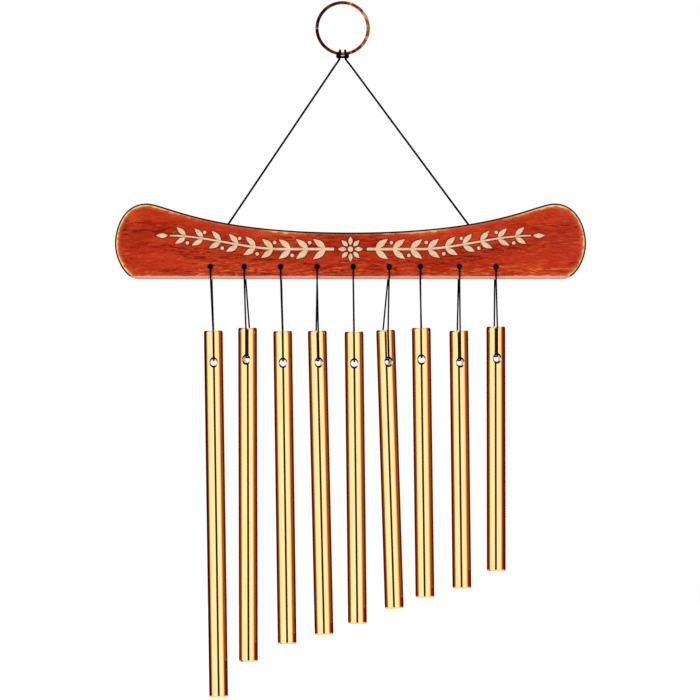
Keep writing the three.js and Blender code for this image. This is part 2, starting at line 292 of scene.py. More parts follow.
def offset(outline, distance):
    """A closed outline, counter-clockwise, moved inwards by the distance."""
    moved = []
    for before, point, after in zip([outline[-1], *outline], outline, [*outline[1:], outline[0]]):
        come = (point - before).normalized()
        go = (after - point).normalized()
        inward = Vector((-come.y - go.y, come.x + go.x)).normalized()
        moved.append(point + inward * distance / inward.dot(Vector((-come.y, come.x))))
    return moved


def aimed(angle):
    """The unit vector of a plane that points at this angle."""
    return Vector((math.cos(angle), math.sin(angle)))


# Mesh making

def sweep(bm, stations, outline, twist=0.0, widths=None):
    """Adds a closed tube with this outline, turned by twist radians for each metre."""
    ahead = [(b - a).normalized() for a, b in zip(stations, stations[1:])]
    tangents = [(a + b).normalized() for a, b in zip([ahead[0], *ahead], [*ahead, ahead[-1]])]
    side = tangents[0].orthogonal().normalized()
    travelled = 0.0
    rings = []
    for i, (station, tangent) in enumerate(zip(stations, tangents)):
        if i:
            side = tangents[i - 1].rotation_difference(tangent) @ side
            travelled += (station - stations[i - 1]).length
        up = tangent.cross(side)
        turn = Matrix.Rotation(twist * travelled, 2)
        width = widths[i] if widths else 1.0
        spokes = [turn @ Vector(point) * width for point in outline]
        rings.append([bm.verts.new(station + side * x + up * y) for x, y in spokes])
    bridge(bm, rings)
    bm.faces.new(reversed(rings[0]))
    bm.faces.new(rings[-1])


def bridge(bm, rings):
    """Joins neighbouring rings of vertices with faces."""
    for low, high in zip(rings, rings[1:]):
        for a, b, c, d in zip(low, [*low[1:], low[0]], [*high[1:], high[0]], high):
            bm.faces.new((a, b, c, d))


def circle(radius, sides):
    """Points evenly round the origin of a plane."""
    angles = [2 * math.pi * i / sides for i in range(sides)]
    return [(radius * math.cos(a), radius * math.sin(a)) for a in angles]


def cord_outline(radius):
    """Section of a laid cord: round, with a groove between each ply and the next."""
    points = []
    for x, y in circle(radius, CORD_SIDES):
        groove = 1 - abs(math.cos(CORD_PLIES * math.atan2(y, x) / 2))
        share = 1 - PLY_GROOVE * groove
        points.append((x * share, y * share))
    return points


def add_cord(bm, route, radius, width_at=lambda station: 1.0):
    """Adds a laid cord along a route, with its ends rounded."""
    stations = even_steps(route, CORD_STEP)
    widths = [width_at(station) for station in stations]
    for end, inner in ((0, 1), (-1, -2)):
        outward = (stations[end] - stations[inner]).normalized()
        tip = stations[end]
        for step in range(1, END_STEPS + 1):
            angle = step / (END_STEPS + END_BLUNTNESS) * math.pi / 2
            where = 0 if end == 0 else len(stations)
            stations.insert(where, tip + outward * radius * math.sin(angle))
            widths.insert(where, math.cos(angle))
    sweep(bm, stations, cord_outline(radius), 2 * math.pi / (LAY_IN_RADII * radius), widths)


def turned(bm, profile, sides, place=Matrix()):
    """Adds a solid turned about Z: the profile's (radius, height) points run up from the axis."""
    rings = []
    for radius, height in profile[1:-1]:
        points = [Vector((x, y, height)) for x, y in circle(radius, sides)]
        rings.append([bm.verts.new(place @ point) for point in points])
    bridge(bm, rings)
    for end, ring in ((profile[0], rings[0]), (profile[-1], rings[-1])):
        hub = bm.verts.new(place @ Vector((0, 0, end[1])))
        for a, b in zip(ring, [*ring[1:], ring[0]]):
            bm.faces.new((hub, b, a) if ring is rings[0] else (hub, a, b))


def add_object(name, data):
    """A new object in the scene."""
    thing = bpy.data.objects.new(name, data)
    bpy.context.scene.collection.objects.link(thing)
    return thing


def mesh_of(bm, name):
    """The finished mesh, its faces turned outwards."""
    bmesh.ops.recalc_face_normals(bm, faces=bm.faces)
    mesh = bpy.data.meshes.new(name)
    bm.to_mesh(mesh)
    bm.free()
    return mesh


def modified(mesh, kind, **settings):
    """The mesh after one modifier."""
    carrier = add_object("carrier", mesh)
    modifier = carrier.modifiers.new(kind, kind)
    for setting, value in settings.items():
        setattr(modifier, setting, value)
    graph = bpy.context.evaluated_depsgraph_get()
    result = bpy.data.meshes.new_from_object(carrier.evaluated_get(graph))
    result.name = mesh.name
    bpy.data.objects.remove(carrier)
    return result


def combined(mesh, other, operation, **settings):
    """The exact boolean of two meshes."""
    tool = add_object("tool", other)
    result = modified(
        mesh, "BOOLEAN", operation=operation, solver="EXACT", object=tool, **settings)
    bpy.data.objects.remove(tool)
    return result


def drilled(mesh, drills):
    """The mesh with every solid in drills cut away."""
    return combined(mesh, mesh_of(drills, "drills"), "DIFFERENCE")


def joined(mesh, other):
    """Both meshes as one, also where their own solids cross."""
    return combined(mesh, other, "UNION", use_self=True)


def shade(mesh):
    """Smooth shading that keeps creases sharp and flat faces flat."""
    mesh.shade_smooth()
    mesh.set_sharp_from_angle(angle=CREASE)
    return modified(mesh, "WEIGHTED_NORMAL", keep_sharp=True)


def place_piece(name, mesh, material, body, slot, *nodes):
    """Puts a mesh into the scene as a piece that rides on a body and stands for CAD nodes."""
    piece = add_object(name, mesh)
    if not mesh.materials:
        mesh.materials.append(material)
    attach(piece, body)
    if nodes:
        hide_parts(*nodes)


def place_cord(name, bm, material, body, node):
    """Puts a laid cord into the scene in place of its CAD node."""
    mesh = mesh_of(bm, name)
    mesh.shade_smooth()
    place_piece(name, mesh, material, body, "waxed_cord", node)


# Material making

def new_material(name, **inputs):
    """A Principled material, its tree and shader: inputs name sockets, with _ for each space."""
    material = bpy.data.materials.new(name)
    material.use_nodes = True
    shader = material.node_tree.nodes["Principled BSDF"]
    for socket, value in inputs.items():
        shader.inputs[socket.replace("_", " ")].default_value = value
    return material, material.node_tree, shader


def add_node(tree, kind, inputs=(), **settings):
    """A node with its settings, and inputs by name or number: a value or another node's socket."""
    node = tree.nodes.new(kind)
    for setting, value in settings.items():
        setattr(node, setting, value)
    for socket, value in dict(inputs).items():
        if isinstance(value, bpy.types.NodeSocket):
            tree.links.new(value, node.inputs[socket])
        else:
            node.inputs[socket].default_value = value
    return node


def stretched(tree, scale):
    """The piece's own coordinates, in metres, times a scale along each axis."""
    place = add_node(tree, "ShaderNodeTexCoord").outputs["Object"]
    return add_node(tree, "ShaderNodeMapping", {"Vector": place, "Scale": scale}).outputs[0]


def noise(tree, scale, detail=3.0, roughness=0.5, distortion=0.0):
    """Noise whose features are about one over the scale long on each axis."""
    return add_node(tree, "ShaderNodeTexNoise", {
        "Vector": stretched(tree, scale),
        "Scale": 1.0,
        "Detail": detail,
        "Roughness": roughness,
        "Distortion": distortion,
    }).outputs["Fac"]


def ramp(tree, factor, stops):
    """A colour ramp; each stop is a position and a linear colour."""
    node = add_node(tree, "ShaderNodeValToRGB", {"Fac": factor})
    elements = node.color_ramp.elements
    while len(elements) < len(stops):
        elements.new(1.0)
    for element, (position, colour) in zip(elements, stops):
        element.position = position
        element.color = colour
    return node.outputs["Color"]


def blend(tree, factor, first, second, kind="MIX"):
    """Two colours mixed by a factor, on the colour sockets of the Mix node."""
    inputs = {0: factor, 6: first, 7: second}
    return add_node(tree, "ShaderNodeMix", inputs, data_type="RGBA", blend_type=kind).outputs[2]


def remap(tree, value, low, high, to_low=0.0, to_high=1.0):
    """The value with low to high stretched to the new range, and held there past its ends."""
    return add_node(tree, "ShaderNodeMapRange", {
        "Value": value, "From Min": low, "From Max": high, "To Min": to_low, "To Max": to_high,
    }).outputs[0]


def calculate(tree, operation, first, second=0.0):
    """One sum on one or two values."""
    return add_node(tree, "ShaderNodeMath", {0: first, 1: second}, operation=operation).outputs[0]


def along_axes(tree):
    """The piece's own X, Y and Z, in metres."""
    place = add_node(tree, "ShaderNodeTexCoord").outputs["Object"]
    return add_node(tree, "ShaderNodeSeparateXYZ", {0: place}).outputs


def attribute(tree, name):
    """A value that the mesh stores."""
    return add_node(tree, "ShaderNodeAttribute", attribute_name=name).outputs["Fac"]


def feed(tree, shader, **values):
    """Links values into the shader's sockets, named with _ for each space."""
    for socket, value in values.items():
        tree.links.new(value, shader.inputs[socket.replace("_", " ")])


def add_bump(tree, shader, height, depth, strength):
    """Bump whose full height is depth metres."""
    inputs = {"Height": height, "Distance": depth, "Strength": strength}
    feed(tree, shader, Normal=add_node(tree, "ShaderNodeBump", inputs).outputs[0])


# Materials

def wood_figure(tree, waves, fine, low):
    """Red stain over wavy dark grain, with painted pale sheen streaks and, low down, orange flecks."""
    tone = ramp(tree, noise(tree, (18, 60, 60), 4.0, 0.6, 0.8), [
        (0.3, linear("A82812")), (0.44, linear("BC321A")),
        (0.58, linear("C63C1E")), (0.72, linear("D24C24")),
    ])
    bands = remap(tree, noise(tree, (16, 60, 90), 2.0), 0.44, 0.56)
    grain = calculate(tree, "MULTIPLY", bands, remap(tree, waves, 0.5, 0.57))
    banded = blend(tree, remap(tree, grain, 0.0, 1.0, 0.0, 0.78), tone, linear("600F05"))
    mottled = blend(tree, remap(tree, fine, 0.55, 0.68, 0.0, 0.6), banded, linear("861708"))
    # Painted sheen: thin pale salmon streaks over the stain
    sheen_streaks = noise(tree, (190, 700, 1300), 2.0, 0.5, 0.8)
    sheen_streaked = blend(tree, remap(tree, sheen_streaks, 0.6, 0.68, 0.0, 0.5), mottled, linear("E2603C"))
    scatter = remap(tree, noise(tree, (22, 20, 20), 2.0), 0.4, 0.58, 0.35, 1.0)
    scattered = calculate(tree, "MULTIPLY", low, scatter)
    flecks = calculate(tree, "MULTIPLY", remap(tree, fine, 0.46, 0.36), scattered)
    return blend(tree, flecks, sheen_streaked, linear("EE7E3E"))


def painted_edge_highlight(tree, figure, rim, highlight_spread, low):
    """The figure with a painted highlight on the rounded edges, orange and then pale towards the
    outline.
    """
    # Painted highlight on the rounded edges, strongest towards the ends, in patches and near the bottom
    # edge
    ragged = remap(tree, noise(tree, (260, 500, 500), 3.0), 0.3, 0.7, -0.1, 0.1)
    uneven = calculate(tree, "ADD", rim, ragged)
    warmth = calculate(tree, "MULTIPLY", remap(tree, uneven, 0.36, 0.74, 0.0, 0.85), highlight_spread)
    warm = blend(tree, warmth, figure, linear("DE6A1E"))
    highlit = calculate(tree, "MAXIMUM", highlight_spread, calculate(tree, "MULTIPLY", low, 0.7))
    paleness = calculate(tree, "MULTIPLY", remap(tree, uneven, 0.66, 0.78, 0.0, 0.95), highlit)
    return blend(tree, paleness, warm, linear("FACB96"))


def down_through(tree, height, zone, to_low=0.0):
    """From to_low up to 1 as the height falls through a zone above the bar's bottom edge."""
    return remap(tree, height, BAR_BOTTOM + zone[0], BAR_BOTTOM + zone[1], to_low, 1.0)


def stained_wood():
    """Red-stained, lacquered wood with dark sides, painted highlight and shade along its rounded edges
    and a painted floor reflection along its bottom.
    """
    material, tree, shader = new_material(
        "stained_wood",
        Roughness=0.45, Specular_IOR_Level=0.0, Coat_Roughness=0.06, Coat_IOR=1.5)
    axes = along_axes(tree)
    height = axes["Z"]
    from_middle = calculate(tree, "ABSOLUTE", calculate(tree, "SUBTRACT", axes["X"], BAR_MIDDLE))
    waves = noise(tree, (75, 300, 620), 4.0, 0.6, 1.6)
    fine = noise(tree, (150, 600, 1000), 3.0, 0.6, 0.6)
    low = down_through(tree, height, LOW_ZONE, 0.12)
    figure = wood_figure(tree, waves, fine, low)

    rim = attribute(tree, "rim")
    # Where the painted edge highlight is strongest: towards the ends and in patches
    ends = remap(tree, from_middle, BAR_END - END_ZONE[0], BAR_END - END_ZONE[1], 0.1, 1.0)
    patches = remap(tree, noise(tree, (24, 40, 40), 2.0), 0.5, 0.64)
    highlight_spread = calculate(tree, "MAXIMUM", ends, patches)
    pale = painted_edge_highlight(tree, figure, rim, highlight_spread, low)

    # Painted shade along the outline: a near-black band on the outer part of the rounding, with the
    # coat taken off there; the sides beyond are dark stain
    line = remap(tree, rim, 0.81, 0.85)
    side = ramp(tree, waves, [(0.42, linear("2E0E05")), (0.6, linear("6A2A14"))])
    dark = blend(tree, remap(tree, rim, 0.97, 0.995), linear("220803"), side)
    shade_outlined = blend(tree, line, pale, dark)
    # A thin dark red line in patches just above the bottom edge
    seam = calculate(tree, "MULTIPLY", patches, down_through(tree, height, DARK_LINE_ZONE))
    dark_lined = blend(tree, seam, shade_outlined, linear("6E1606"))
    # Painted reflection of the pale floor: the lower rounding and the underside turned pinkish white
    sole = down_through(tree, height, FLOOR_REFLECTION_ZONE)
    feed(
        tree, shader,
        Base_Color=blend(tree, sole, dark_lined, linear("EBB4A6")),
        Coat_Weight=remap(tree, line, 0, 1, 0.17, 0.01))
    add_bump(tree, shader, fine, 0.05 * MM, 0.5)
    return material


def plain_material(name, scale, stops, detail=3.0, roughness=0.5, **inputs):
    """A material whose colour alone varies, with noise of this scale."""
    material, tree, shader = new_material(name, **inputs)
    feed(tree, shader, Base_Color=ramp(tree, noise(tree, scale, detail, roughness), stops))
    return material


def bore_stain_and_shade():
    """Wood inside the drilled holes, near black from pooled stain and from painted shade."""
    return plain_material(
        "bore_stain_and_shade", (700, 700, 700), [(0.3, linear("120402")), (0.7, linear("260A05"))],
        Roughness=0.9, Specular_IOR_Level=0.1)


def cream_inlay():
    """Cream inlay of the ornament, slightly soaked by the stain."""
    stops = [(0.3, linear("DDA67A")), (0.5, linear("EFC49A")), (0.75, linear("F7D9B4"))]
    return plain_material(
        "cream_inlay", (260, 260, 700), stops, 4.0, 0.6,
        Roughness=0.45, Coat_Weight=0.4, Coat_Roughness=0.1)


def burnt_line():
    """Scorched line round the inlay."""
    return plain_material(
        "burnt_line", (500, 500, 900), [(0.3, linear("3C0C04")), (0.7, linear("66180A"))],
        Roughness=0.7, Specular_IOR_Level=0.1)


def golden_metal():
    """Gold-anodised rod, bright from polishing, with faint drawn lines along its length."""
    material, tree, shader = new_material(
        "golden_metal", Metallic=1.0, Specular_Tint=linear("A8482A"))
    lines = noise(tree, (2600, 2600, 9), 3.0, 0.6)
    clouds = noise(tree, (90, 90, 26), 2.0)
    tone = ramp(tree, lines, [
        (0.3, linear("EFCC86")), (0.55, linear("F7D48E")), (0.8, linear("FADB9A")),
    ])
    feed(
        tree, shader,
        Base_Color=blend(tree, remap(tree, clouds, 0.35, 0.75, 0.0, 0.18), tone, linear("E9B968")),
        Roughness=remap(tree, lines, 0.3, 0.7, 0.05, 0.09))
    add_bump(tree, shader, lines, 0.002 * MM, 0.35)
    return material


def bare_metal():
    """Bright countersunk metal in a rod's cross hole, with shade painted near black round its rim."""
    material, tree, shader = new_material("bare_metal", Metallic=0.3, Specular_IOR_Level=0.2)
    chatter = noise(tree, (500, 3200, 500), 2.0)
    tone = ramp(tree, chatter, [(0.3, linear("EEE6D6")), (0.7, linear("FCF8EE"))])
    # Painted shade, near black, round the hole's rim
    painted_shade = remap(tree, attribute(tree, "painted_shade"), 0.06, 0.16, 0.0, 0.99)
    feed(
        tree, shader,
        Base_Color=blend(tree, painted_shade, tone, linear("0C0503")),
        Roughness=remap(tree, chatter, 0.3, 0.7, 0.16, 0.3))
    add_bump(tree, shader, chatter, 0.01 * MM, 0.4)
    return material


def bronze_wire():
    """Dark bronze wire, scuffed to copper and gold in places, with painted light growing towards the
    right.
    """
    material, tree, shader = new_material("bronze_wire", Metallic=1.0)
    patches = noise(tree, (270, 270, 210), 4.0, 0.62, 0.8)
    fine = noise(tree, (1400, 1400, 1400), 3.0)
    # Painted light: the wire grows lighter towards the right and darker towards the left
    painted_light_to_right = remap(tree, along_axes(tree)["X"], -RING_RADIUS, RING_RADIUS, -0.16, 0.12)
    tone = ramp(tree, calculate(tree, "ADD", patches, painted_light_to_right), [
        (0.33, linear("2C0F08")), (0.45, linear("682F16")),
        (0.55, linear("925020")), (0.67, linear("DCA454")),
    ])
    feed(
        tree, shader,
        Base_Color=blend(tree, remap(tree, fine, 0.55, 0.8, 0.0, 0.6), tone, linear("2E100A")),
        Roughness=remap(tree, fine, 0.3, 0.7, 0.14, 0.34))
    add_bump(tree, shader, fine, 0.01 * MM, 0.5)
    return material


def waxed_cord():
    """Near-black cord, its fibres matted by wax."""
    material, tree, shader = new_material("waxed_cord", Specular_IOR_Level=0.05)
    fibres = noise(tree, (2600, 2600, 1500), 3.0, 0.6)
    feed(
        tree, shader,
        Base_Color=ramp(tree, fibres, [(0.3, linear("030202")), (0.7, linear("0E0B0A"))]),
        Roughness=remap(tree, fibres, 0.3, 0.7, 0.65, 0.9))
    add_bump(tree, shader, fibres, 0.05 * MM, 0.6)
    return material


# Ring and hanger cord

def make_ring(material):
    """The wire ring, open by its seam at the left."""
    seam = RING_SEAM / RING_RADIUS
    stations = []
    for step in range(RING_STEPS + 1):
        angle = math.pi + seam / 2 + (2 * math.pi - seam) * step / RING_STEPS
        spoke = Vector((math.cos(angle), 0, math.sin(angle)))
        stations.append(Vector((0, 0, RING_CENTRE)) + spoke * RING_RADIUS)
    bm = bmesh.new()
    sweep(bm, stations, circle(RING_WIRE / 2, WIRE_SIDES))
    mesh = shade(mesh_of(bm, "ring_wire"))
    place_piece("ring_wire", mesh, material, "ring", "bronze_wire", "ring")


# Left half of the cow hitch round the ring's lowest wire, from the leg to the middle of
# the bridge that crosses in front of both legs. Places are from the wire's centre.
WRAP = RING_WIRE / 2 + HANGER_STAND_OFF
HITCH_LEFT_HALF = [
    (-2.2 * MM, 0, -WRAP - 1.5 * MM),
    (-2.1 * MM, 0.9 * MM, -WRAP - 0.3 * MM),
    (-1.95 * MM, WRAP - 0.12 * MM, -0.95 * MM),
    (-1.8 * MM, WRAP - 0.02 * MM, 0.5 * MM),
    (-1.7 * MM, WRAP * 0.6, WRAP * 0.82),
    (-1.7 * MM, 0, WRAP + 0.03 * MM),
    (-1.75 * MM, -WRAP * 0.6, WRAP * 0.82),
    (-2.3 * MM, -WRAP - 0.1 * MM, 0),
    (-3.1 * MM, -WRAP - 0.15 * MM, -0.75 * MM),
    (-3.65 * MM, -WRAP + 0.05 * MM, -1.45 * MM),
    (-3.55 * MM, -WRAP + 0.25 * MM, -2.1 * MM),
    (-2.9 * MM, -WRAP + 0.3 * MM, -WRAP - 0.35 * MM),
    (-1.6 * MM, -WRAP + 0.3 * MM, -WRAP - 0.2 * MM),
]
HITCH_BRIDGE = (0, -WRAP + 0.3 * MM, -WRAP - 0.1 * MM)


def hanger_legs():
    """Where each leg leaves the hitch and where it meets the bar's upper edge."""
    legs = {}
    for side, mouth in ((-1, -MOUTH_LEFT), (1, MOUTH_RIGHT)):
        x, y, z = HITCH_LEFT_HALF[0]
        exit_point = PIVOT["hanger"] + Vector((-side * x, y, z))
        legs[side] = exit_point, PIVOT["bar"] + Vector((mouth, 0, 0))
    return legs


def make_hanger(material):
    """The hanger cord with its hitch, and its two ends in the bar."""
    left = [PIVOT["hanger"] + Vector(point) for point in HITCH_LEFT_HALF]
    right = [Vector((-point.x, point.y, point.z)) for point in reversed(left)]
    bridge_point = PIVOT["hanger"] + Vector(HITCH_BRIDGE)
    legs = hanger_legs()
    lead_in = [exit_point.lerp(entry, HITCH_LEAD_IN) for exit_point, entry in legs.values()]
    hitch = smooth_through([lead_in[0], *left, bridge_point, *right, lead_in[1]], BEND_STEPS)

    def in_hitch(station):
        """The cord's width, swollen where it is pulled tight round the ring."""
        below = (left[0].z - station.z) / HITCH_FADE
        return 1 + HITCH_SWELL * min(1, max(0, 1 - below))

    bm = bmesh.new()
    add_cord(bm, [legs[-1][1], *hitch, legs[1][1]], HANGER_RADIUS, in_hitch)
    place_cord("hanger_laid", bm, material, "hanger", "hanger_cord")

    for side, name in ((-1, "left"), (1, "right")):
        exit_point, entry = legs[side]
        pull = (exit_point - entry).normalized()
        bm = bmesh.new()
        deepest = entry - pull * (SOCKET_DEPTH - CORD_CLEARANCE - HANGER_RADIUS)
        add_cord(bm, [entry, deepest], HANGER_RADIUS)
        place_cord(f"cord_end_{name}", bm, material, "bar", f"hanger_cord_end_{name}")


# Bar

def bar_outline():
    """The bar's outline in X and Z from its own middle and bottom, counter-clockwise."""
    sole = BAR_END - BAR_SOLE_INSET
    crest = BAR_END - BAR_CREST_INSET
    rise = BAR_CREST_HEIGHT - BAR_NOSE_HEIGHT
    below_nose = bezier(
        Vector((sole, 0)),
        Vector((sole + BAR_SOLE_INSET * SOLE_FULLNESS, 0)),
        Vector((BAR_END, BAR_NOSE_HEIGHT * (1 - NOSE_FULLNESS_BELOW))),
        Vector((BAR_END, BAR_NOSE_HEIGHT)), OUTLINE_STEPS)
    above_nose = bezier(
        Vector((BAR_END, BAR_NOSE_HEIGHT)),
        Vector((BAR_END, BAR_NOSE_HEIGHT + rise * NOSE_FULLNESS_ABOVE)),
        Vector((crest + BAR_CREST_INSET * CREST_FULLNESS_OUT, BAR_CREST_HEIGHT)),
        Vector((crest, BAR_CREST_HEIGHT)), OUTLINE_STEPS)
    to_waist = bezier(
        Vector((crest, BAR_CREST_HEIGHT)),
        Vector((crest * (1 - CREST_FULLNESS_IN), BAR_CREST_HEIGHT)),
        Vector((crest * WAIST_FULLNESS, BAR_WAIST_HEIGHT)),
        Vector((0, BAR_WAIST_HEIGHT)), 2 * OUTLINE_STEPS)
    right = below_nose[:-1] + above_nose[:-1] + to_waist[:-1]
    left = [Vector((-point.x, point.y)) for point in reversed(right)]
    return right + [to_waist[-1]] + left


def bar_blank(outline):
    """The bar before drilling: its outline with both faces rounded over."""
    flat = BAR_THICKNESS / 2
    levels = [(share * RIM_WIDTH, flat) for share in RIM_LOOPS]
    for step in range(ROUNDING_STEPS + 1):
        angle = math.pi / 2 * step / ROUNDING_STEPS
        rounded = BAR_ROUNDING * math.cos(angle)
        levels.append((BAR_ROUNDING * (1 - math.sin(angle)), flat - BAR_ROUNDING + rounded))
    levels += [(inset, -y) for inset, y in reversed(levels)]
    bm = bmesh.new()
    rings = []
    for inset, y in levels:
        points = offset(outline, inset)
        rings.append([bm.verts.new((BAR_MIDDLE + p.x, y, BAR_BOTTOM + p.y)) for p in points])
    bridge(bm, rings)
    bm.faces.new(rings[0])
    bm.faces.new(rings[-1])
    return mesh_of(bm, "bar_wood")


def hole_centres():
    """Where the axis of each cord hole through the bar lies."""
    numbers = range(1, len(ROD_LENGTHS) + 1)
    return [PIVOT[f"loop_{number}"] + Vector((0, 0, HOLE_SEAT)) for number in numbers]


def bar_drills():
    """The cord holes right through, and the two sockets for the hanger cord."""
    drills = bmesh.new()
    reach = BAR_THICKNESS / 2
    start = -reach - OVERRUN
    flare = HOLE_BORE / 2 + HOLE_EASING + OVERRUN
    half = [(0, start), (flare, start), (HOLE_BORE / 2, HOLE_EASING - reach)]
    profile = half + [(radius, -height) for radius, height in reversed(half)]
    for centre in hole_centres():
        turned(drills, profile, DRILL_SIDES, Matrix.Translation(centre) @ ALONG_Y)

    slope = (MOUTH_WIDTH / 2 - HANGER_STAND_OFF) / MOUTH_DEPTH
    above = 2 * OVERRUN
    socket = [
        (0, -SOCKET_DEPTH), (HANGER_STAND_OFF, -SOCKET_DEPTH), (HANGER_STAND_OFF, -MOUTH_DEPTH),
        (MOUTH_WIDTH / 2 + slope * above, above), (0, above),
    ]
    for exit_point, entry in hanger_legs().values():
        pull = (exit_point - entry).to_track_quat("Z", "Y").to_matrix().to_4x4()
        turned(drills, socket, DRILL_SIDES, Matrix.Translation(entry) @ pull)
    return drills


def mark_rim(mesh, outline):
    """Stores how near each vertex is to the bar's outline: 1 on it, 0 from RIM_WIDTH inwards."""
    edges = list(zip(outline, [*outline[1:], outline[0]]))
    values = []
    for vertex in mesh.vertices:
        point = Vector((vertex.co.x - BAR_MIDDLE, vertex.co.z - BAR_BOTTOM))
        nearest = RIM_WIDTH
        for start, end in edges:
            along = end - start
            share = min(1, max(0, (point - start).dot(along) / along.length_squared))
            nearest = min(nearest, (point - start - along * share).length)
        values.append(1 - nearest / RIM_WIDTH)
    mesh.attributes.new("rim", "FLOAT", "POINT").data.foreach_set("value", values)


def is_bore_wall(polygon, bores):
    """Whether a face is a bore's wall; bores give origin, axis outwards, radius and reach."""
    for origin, axis, radius, reach in bores:
        spoke = polygon.center - origin
        along = spoke.dot(axis)
        if (spoke - axis * along).length < radius and along < reach:
            return abs(polygon.normal.dot(axis)) < SQUARE_TO_BORE
    return False


def make_bar(wood, bore):
    """The wooden bar, its bores near black from pooled stain and painted shade."""
    outline = bar_outline()
    mesh = drilled(bar_blank(outline), bar_drills())
    mark_rim(mesh, outline)
    mouth = HOLE_BORE / 2 + HOLE_EASING
    bores = [(centre, Vector((0, 1, 0)), mouth, BAR_THICKNESS) for centre in hole_centres()]
    for exit_point, entry in hanger_legs().values():
        bores.append((entry, (exit_point - entry).normalized(), MOUTH_WIDTH / 2, MOUTH_WIDTH / 2))
    mesh.materials.append(wood)
    # Bore walls near black from pooled stain and painted shade
    mesh.materials.append(bore)
    for polygon in mesh.polygons:
        if is_bore_wall(polygon, bores):
            polygon.material_index = 1
    place_piece("bar_wood", shade(mesh), wood, "bar", "stained_wood", "bar")


# Ornament

def stem_height(distance):
    """Height of the stem at a distance from the bar's middle."""
    share = min(1, max(0, (distance - STEM_RISE_FROM) / (STEM_END - STEM_RISE_FROM)))
    return ROSETTE_HEIGHT + STEM_RISE * share * share * (3 - 2 * share)


def leaf(base, direction, length, width, margin):
    """A pointed leaf as a closed outline."""
    along = aimed(direction)
    across = Vector((-along.y, along.x))
    start = base - along * margin
    reach = length + LEAF_TIP_MARGIN * margin
    upper, lower = [], []
    for step in range(1, LEAF_STEPS):
        share = step / LEAF_STEPS
        fullness = math.sin(math.pi * share ** LEAF_BELLY) ** LEAF_SHARPNESS
        spread = across * fullness * (width / 2 + margin)
        upper.append(start + along * reach * share + spread)
        lower.append(start + along * reach * share - spread)
    return [start, *upper, start + along * reach, *reversed(lower)]


def disc(centre, radius, margin):
    """A round shape as a closed outline."""
    return [centre + Vector(point) for point in circle(radius + margin, DISC_SIDES)]


def stem(side, margin):
    """The stem, tapered to its tip."""
    upper, lower = [], []
    for step in range(STEM_STEPS + 1):
        share = step / STEM_STEPS
        distance = STEM_START - margin + (STEM_END + 2 * margin - STEM_START) * share
        half = STEM_WIDTH / 2 * (1 - STEM_TAPER * share) + margin
        upper.append(Vector((side * distance, stem_height(distance) + half)))
        lower.append(Vector((side * distance, stem_height(distance) - half)))
    return upper + lower[::-1]


def rosette(margin):
    """A ring of petals round an eye."""
    heart = Vector((0, ROSETTE_HEIGHT))
    shapes = [disc(heart, ROSETTE_EYE, margin)]
    for petal in range(ROSETTE_PETALS):
        direction = 2 * math.pi * petal / ROSETTE_PETALS
        foot = heart + aimed(direction) * PETAL_START
        shapes.append(leaf(foot, direction, PETAL_LENGTH, PETAL_WIDTH, margin))
    return shapes


def spray(side, margin):
    """A laurel spray to one side: its stem, pairs of leaves, berries and a leaf at the tip."""
    shapes = [stem(side, margin)]
    spacing = (STEM_END - STEM_START) / (LEAF_PAIRS + FIRST_LEAF)
    for pair in range(LEAF_PAIRS + 1):
        distance = STEM_START + spacing * (pair + FIRST_LEAF)
        foot = Vector((side * distance, stem_height(distance)))
        slope = math.atan((stem_height(distance + MM) - stem_height(distance - MM)) / (2 * MM))
        size = 1 - LEAF_SHRINK * pair / LEAF_PAIRS
        turns = (LEAF_ANGLE, -LEAF_ANGLE) if pair < LEAF_PAIRS else (0,)
        for turn in turns:
            direction = slope + turn if side > 0 else math.pi - slope - turn
            start = foot + aimed(direction) * LEAF_START
            shapes.append(leaf(start, direction, LEAF_LENGTH * size, LEAF_WIDTH * size, margin))
        if 0 < pair < LEAF_PAIRS:
            lift = (1 if pair % 2 else -1) * (STEM_WIDTH + 2 * BERRY_RADIUS)
            shapes.append(disc(foot + Vector((0, lift)), BERRY_RADIUS, margin))
    return shapes


def slab(name, outlines, relief):
    """Flat shapes lying on the bar's front, in one mesh."""
    bm = bmesh.new()
    for outline in outlines:
        rings = []
        for y in (BAR_FRONT + ORNAMENT_SINK, BAR_FRONT - relief):
            rings.append([bm.verts.new((BAR_MIDDLE + p.x, y, BAR_BOTTOM + p.y)) for p in outline])
        bridge(bm, rings)
        bm.faces.new(rings[0])
        bm.faces.new(rings[1])
    return mesh_of(bm, name)


def make_ornament_layer(name, material, margin, relief):
    """One layer of the ornament, grown by a margin, its shapes joined where they cross."""
    outlines = rosette(margin) + spray(-1, margin) + spray(1, margin)
    mesh = joined(slab(name, outlines[0::2], relief), slab("others", outlines[1::2], relief))
    place_piece(name, mesh, material, "bar", "stained_wood")


# Rods

def rod_place(index):
    """A rod's frame: its cord's middle, its lean and its turn about its own length."""
    lean = Matrix.Rotation(-math.radians(ROD_LEANS[index]), 4, "Y")
    turn = Matrix.Rotation(math.radians(ROD_TURNS[index]), 4, "Z")
    return Matrix.Translation(PIVOT[f"rod_{index + 1}"]) @ lean @ turn


def shade_rod(mesh):
    """Shades the rod's side as a true round, also beside the hole that cuts into it."""
    mesh.shade_smooth()
    mesh.set_sharp_from_angle(angle=ROD_CREASE)
    normals = [corner.vector.copy() for corner in mesh.corner_normals]
    for polygon in mesh.polygons:
        radial = Vector((polygon.center.x, polygon.center.y, 0)).normalized()
        if polygon.normal.dot(radial) < ON_ROD_SIDE:
            continue
        for corner in polygon.loop_indices:
            place = mesh.vertices[mesh.loops[corner].vertex_index].co
            normals[corner] = Vector((place.x, place.y, 0)).normalized()
    mesh.normals_split_custom_set(normals)


